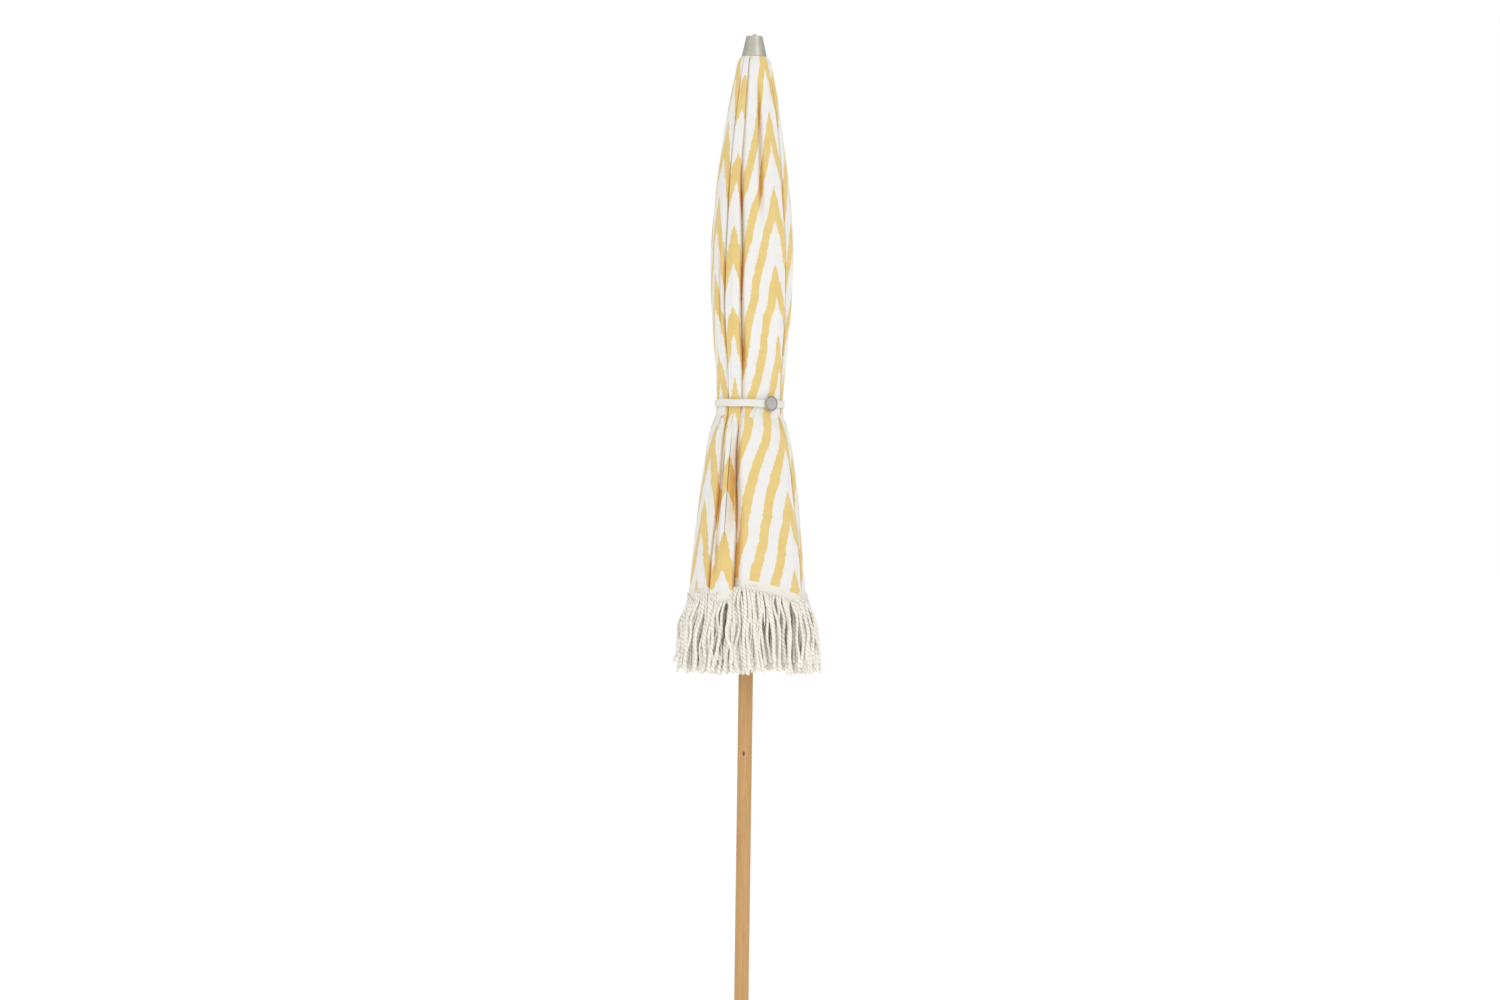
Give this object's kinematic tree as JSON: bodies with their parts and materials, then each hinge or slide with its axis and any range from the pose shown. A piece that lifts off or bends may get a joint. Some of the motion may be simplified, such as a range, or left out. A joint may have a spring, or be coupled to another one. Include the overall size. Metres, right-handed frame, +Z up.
{
  "type": "beach umbrella",
  "caption": "Furled fringed beach umbrella: striped canopy on folding steel ribs, closing strap with a snap, sliding runner and a parting wooden pole.",
  "frame": {"origin": "centre of the pole's foot, on its flat end face", "axes": "+Z up along the pole towards the cap; +X is midway between two ribs, and the snap faces between +X and -Y"},
  "size_m": [0.276, 0.276, 2.08],
  "materials": {
    "pole_wood": "satin",
    "canopy_cloth": "matte",
    "fringe_cotton": "matte",
    "strap_webbing": "matte",
    "satin_metal": "satin",
    "sleeve_steel": "satin",
    "hub_plastic": "satin",
    "zinc_steel": "satin",
    "rib_steel": "satin"
  },
  "bodies": {
    "lower_pole": {"lower_pole": "pole_wood", "pole_sleeve": "sleeve_steel"},
    "upper_pole": {"upper_pole": "pole_wood", "stop_pin": "zinc_steel", "crown": "hub_plastic", "crown_ring": "zinc_steel", "cap": "satin_metal", "cap_screw": "satin_metal", "crown_cloth": "canopy_cloth", "catch_spring": "zinc_steel"},
    "runner": {"runner": "hub_plastic", "runner_ring": "zinc_steel"},
    "catch": {"runner_catch": "zinc_steel"},
    "rib_1": {"rib_1": "rib_steel", "rib_joint_1": "zinc_steel", "canopy_panel_1": "canopy_cloth"},
    "stretcher_1": {"stretcher_1": "rib_steel"},
    "fringe_1": {"fringe_1": "fringe_cotton"},
    "rib_2": {"rib_2": "rib_steel", "rib_joint_2": "zinc_steel", "canopy_panel_2": "canopy_cloth"},
    "stretcher_2": {"stretcher_2": "rib_steel"},
    "fringe_2": {"fringe_2": "fringe_cotton"},
    "rib_3": {"rib_3": "rib_steel", "rib_joint_3": "zinc_steel", "canopy_panel_3": "canopy_cloth"},
    "stretcher_3": {"stretcher_3": "rib_steel"},
    "fringe_3": {"fringe_3": "fringe_cotton"},
    "rib_4": {"rib_4": "rib_steel", "rib_joint_4": "zinc_steel", "canopy_panel_4": "canopy_cloth"},
    "stretcher_4": {"stretcher_4": "rib_steel"},
    "fringe_4": {"fringe_4": "fringe_cotton"},
    "rib_5": {"rib_5": "rib_steel", "rib_joint_5": "zinc_steel", "canopy_panel_5": "canopy_cloth"},
    "stretcher_5": {"stretcher_5": "rib_steel"},
    "fringe_5": {"fringe_5": "fringe_cotton"},
    "rib_6": {"rib_6": "rib_steel", "rib_joint_6": "zinc_steel", "canopy_panel_6": "canopy_cloth"},
    "stretcher_6": {"stretcher_6": "rib_steel"},
    "fringe_6": {"fringe_6": "fringe_cotton"},
    "rib_7": {"rib_7": "rib_steel", "rib_joint_7": "zinc_steel", "canopy_panel_7": "canopy_cloth"},
    "stretcher_7": {"stretcher_7": "rib_steel"},
    "fringe_7": {"fringe_7": "fringe_cotton"},
    "rib_8": {"rib_8": "rib_steel", "rib_joint_8": "zinc_steel", "canopy_panel_8": "canopy_cloth", "strap_root": "strap_webbing", "snap_stud": "zinc_steel"},
    "stretcher_8": {"stretcher_8": "rib_steel"},
    "fringe_8": {"fringe_8": "fringe_cotton"},
    "strap_right": {"strap_right": "strap_webbing"},
    "strap_back": {"strap_back": "strap_webbing"},
    "strap_tail": {"strap_tail": "strap_webbing", "snap_cap": "satin_metal"}
  },
  "joints": [
    {"name": "pole_joint", "type": "slide", "parent": "lower_pole", "child": "upper_pole", "axis": [0, 0, 1], "range_m": [0, 0.05]},
    {"name": "runner_slide", "type": "slide", "parent": "upper_pole", "child": "runner", "axis": [0, 0, 1], "range_m": [0, 0.48645], "deforming": ["crown_cloth"]},
    {"name": "catch_press", "type": "hinge", "parent": "upper_pole", "child": "catch", "pos_m": [0.0105, 0, 1.51564], "axis": [0, -1, 0], "range_deg": [0, 8], "stiffness_Nm_per_rad": 0.5, "deforming": ["catch_spring", "runner_catch"]},
    {"name": "rib_hinge_1", "type": "hinge", "parent": "upper_pole", "child": "rib_1", "pos_m": [0.01848, 0.00765, 2.01], "axis": [0.3827, -0.9239, 0], "range_deg": [0, 63.8]},
    {"name": "stretcher_hinge_1", "type": "hinge", "parent": "rib_1", "child": "stretcher_1", "pos_m": [0.0345, 0.01429, 1.57027], "axis": [-0.3827, 0.9239, 0], "range_deg": [0, 120.46]},
    {"name": "fringe_hang_1", "type": "hinge", "parent": "rib_1", "child": "fringe_1", "pos_m": [0.07166, 0.02968, 1.01166], "axis": [-0.3827, 0.9239, 0], "range_deg": [0, 63.8]},
    {"name": "rib_hinge_2", "type": "hinge", "parent": "upper_pole", "child": "rib_2", "pos_m": [0.00765, 0.01848, 2.01], "axis": [0.9239, -0.3827, 0], "range_deg": [0, 63.8]},
    {"name": "stretcher_hinge_2", "type": "hinge", "parent": "rib_2", "child": "stretcher_2", "pos_m": [0.01429, 0.0345, 1.57027], "axis": [-0.9239, 0.3827, 0], "range_deg": [0, 120.46]},
    {"name": "fringe_hang_2", "type": "hinge", "parent": "rib_2", "child": "fringe_2", "pos_m": [0.02968, 0.07166, 1.01166], "axis": [-0.9239, 0.3827, 0], "range_deg": [0, 63.8]},
    {"name": "rib_hinge_3", "type": "hinge", "parent": "upper_pole", "child": "rib_3", "pos_m": [-0.00765, 0.01848, 2.01], "axis": [0.9239, 0.3827, 0], "range_deg": [0, 63.8]},
    {"name": "stretcher_hinge_3", "type": "hinge", "parent": "rib_3", "child": "stretcher_3", "pos_m": [-0.01429, 0.0345, 1.57027], "axis": [-0.9239, -0.3827, 0], "range_deg": [0, 120.46]},
    {"name": "fringe_hang_3", "type": "hinge", "parent": "rib_3", "child": "fringe_3", "pos_m": [-0.02968, 0.07166, 1.01166], "axis": [-0.9239, -0.3827, 0], "range_deg": [0, 63.8]},
    {"name": "rib_hinge_4", "type": "hinge", "parent": "upper_pole", "child": "rib_4", "pos_m": [-0.01848, 0.00765, 2.01], "axis": [0.3827, 0.9239, 0], "range_deg": [0, 63.8]},
    {"name": "stretcher_hinge_4", "type": "hinge", "parent": "rib_4", "child": "stretcher_4", "pos_m": [-0.0345, 0.01429, 1.57027], "axis": [-0.3827, -0.9239, 0], "range_deg": [0, 120.46]},
    {"name": "fringe_hang_4", "type": "hinge", "parent": "rib_4", "child": "fringe_4", "pos_m": [-0.07166, 0.02968, 1.01166], "axis": [-0.3827, -0.9239, 0], "range_deg": [0, 63.8]},
    {"name": "rib_hinge_5", "type": "hinge", "parent": "upper_pole", "child": "rib_5", "pos_m": [-0.01848, -0.00765, 2.01], "axis": [-0.3827, 0.9239, 0], "range_deg": [0, 63.8]},
    {"name": "stretcher_hinge_5", "type": "hinge", "parent": "rib_5", "child": "stretcher_5", "pos_m": [-0.0345, -0.01429, 1.57027], "axis": [0.3827, -0.9239, 0], "range_deg": [0, 120.46]},
    {"name": "fringe_hang_5", "type": "hinge", "parent": "rib_5", "child": "fringe_5", "pos_m": [-0.07166, -0.02968, 1.01166], "axis": [0.3827, -0.9239, 0], "range_deg": [0, 63.8]},
    {"name": "rib_hinge_6", "type": "hinge", "parent": "upper_pole", "child": "rib_6", "pos_m": [-0.00765, -0.01848, 2.01], "axis": [-0.9239, 0.3827, 0], "range_deg": [0, 63.8]},
    {"name": "stretcher_hinge_6", "type": "hinge", "parent": "rib_6", "child": "stretcher_6", "pos_m": [-0.01429, -0.0345, 1.57027], "axis": [0.9239, -0.3827, 0], "range_deg": [0, 120.46]},
    {"name": "fringe_hang_6", "type": "hinge", "parent": "rib_6", "child": "fringe_6", "pos_m": [-0.02968, -0.07166, 1.01166], "axis": [0.9239, -0.3827, 0], "range_deg": [0, 63.8]},
    {"name": "rib_hinge_7", "type": "hinge", "parent": "upper_pole", "child": "rib_7", "pos_m": [0.00765, -0.01848, 2.01], "axis": [-0.9239, -0.3827, 0], "range_deg": [0, 63.8]},
    {"name": "stretcher_hinge_7", "type": "hinge", "parent": "rib_7", "child": "stretcher_7", "pos_m": [0.01429, -0.0345, 1.57027], "axis": [0.9239, 0.3827, 0], "range_deg": [0, 120.46]},
    {"name": "fringe_hang_7", "type": "hinge", "parent": "rib_7", "child": "fringe_7", "pos_m": [0.02968, -0.07166, 1.01166], "axis": [0.9239, 0.3827, 0], "range_deg": [0, 63.8]},
    {"name": "rib_hinge_8", "type": "hinge", "parent": "upper_pole", "child": "rib_8", "pos_m": [0.01848, -0.00765, 2.01], "axis": [-0.3827, -0.9239, 0], "range_deg": [0, 63.8]},
    {"name": "stretcher_hinge_8", "type": "hinge", "parent": "rib_8", "child": "stretcher_8", "pos_m": [0.0345, -0.01429, 1.57027], "axis": [0.3827, 0.9239, 0], "range_deg": [0, 120.46]},
    {"name": "fringe_hang_8", "type": "hinge", "parent": "rib_8", "child": "fringe_8", "pos_m": [0.07166, -0.02968, 1.01166], "axis": [0.3827, 0.9239, 0], "range_deg": [0, 63.8]},
    {"name": "strap_right_unwrap", "type": "hinge", "parent": "rib_8", "child": "strap_right", "pos_m": [0.06648, -0.00174, 1.37], "axis": [0, 0, -1], "range_deg": [0, 55.2], "deforming": ["strap_right"]},
    {"name": "strap_back_unwrap", "type": "hinge", "parent": "strap_right", "child": "strap_back", "pos_m": [-0.01552, 0.06466, 1.37], "axis": [0, 0, -1], "range_deg": [0, 104.2], "deforming": ["strap_back"]},
    {"name": "strap_tail_unwrap", "type": "hinge", "parent": "strap_back", "child": "strap_tail", "pos_m": [-0.05844, -0.03173, 1.37], "axis": [0, 0, -1], "range_deg": [0, 112.2], "deforming": ["strap_tail", "snap_cap", "strap_root"]}
  ],
  "couplings": [
    {"joint": "rib_hinge_1", "follows": "runner_slide", "rad_per_m": 2.2855},
    {"joint": "stretcher_hinge_1", "follows": "runner_slide", "rad_per_m": 4.3182},
    {"joint": "fringe_hang_1", "follows": "runner_slide", "rad_per_m": 2.2855},
    {"joint": "rib_hinge_2", "follows": "runner_slide", "rad_per_m": 2.2855},
    {"joint": "stretcher_hinge_2", "follows": "runner_slide", "rad_per_m": 4.3182},
    {"joint": "fringe_hang_2", "follows": "runner_slide", "rad_per_m": 2.2855},
    {"joint": "rib_hinge_3", "follows": "runner_slide", "rad_per_m": 2.2855},
    {"joint": "stretcher_hinge_3", "follows": "runner_slide", "rad_per_m": 4.3182},
    {"joint": "fringe_hang_3", "follows": "runner_slide", "rad_per_m": 2.2855},
    {"joint": "rib_hinge_4", "follows": "runner_slide", "rad_per_m": 2.2855},
    {"joint": "stretcher_hinge_4", "follows": "runner_slide", "rad_per_m": 4.3182},
    {"joint": "fringe_hang_4", "follows": "runner_slide", "rad_per_m": 2.2855},
    {"joint": "rib_hinge_5", "follows": "runner_slide", "rad_per_m": 2.2855},
    {"joint": "stretcher_hinge_5", "follows": "runner_slide", "rad_per_m": 4.3182},
    {"joint": "fringe_hang_5", "follows": "runner_slide", "rad_per_m": 2.2855},
    {"joint": "rib_hinge_6", "follows": "runner_slide", "rad_per_m": 2.2855},
    {"joint": "stretcher_hinge_6", "follows": "runner_slide", "rad_per_m": 4.3182},
    {"joint": "fringe_hang_6", "follows": "runner_slide", "rad_per_m": 2.2855},
    {"joint": "rib_hinge_7", "follows": "runner_slide", "rad_per_m": 2.2855},
    {"joint": "stretcher_hinge_7", "follows": "runner_slide", "rad_per_m": 4.3182},
    {"joint": "fringe_hang_7", "follows": "runner_slide", "rad_per_m": 2.2855},
    {"joint": "rib_hinge_8", "follows": "runner_slide", "rad_per_m": 2.2855},
    {"joint": "stretcher_hinge_8", "follows": "runner_slide", "rad_per_m": 4.3182},
    {"joint": "fringe_hang_8", "follows": "runner_slide", "rad_per_m": 2.2855},
    {"joint": "strap_right_unwrap", "follows": "runner_slide", "rad_per_m": 1.9733},
    {"joint": "strap_back_unwrap", "follows": "runner_slide", "rad_per_m": 3.7314},
    {"joint": "strap_tail_unwrap", "follows": "runner_slide", "rad_per_m": 4.0184}
  ]
}
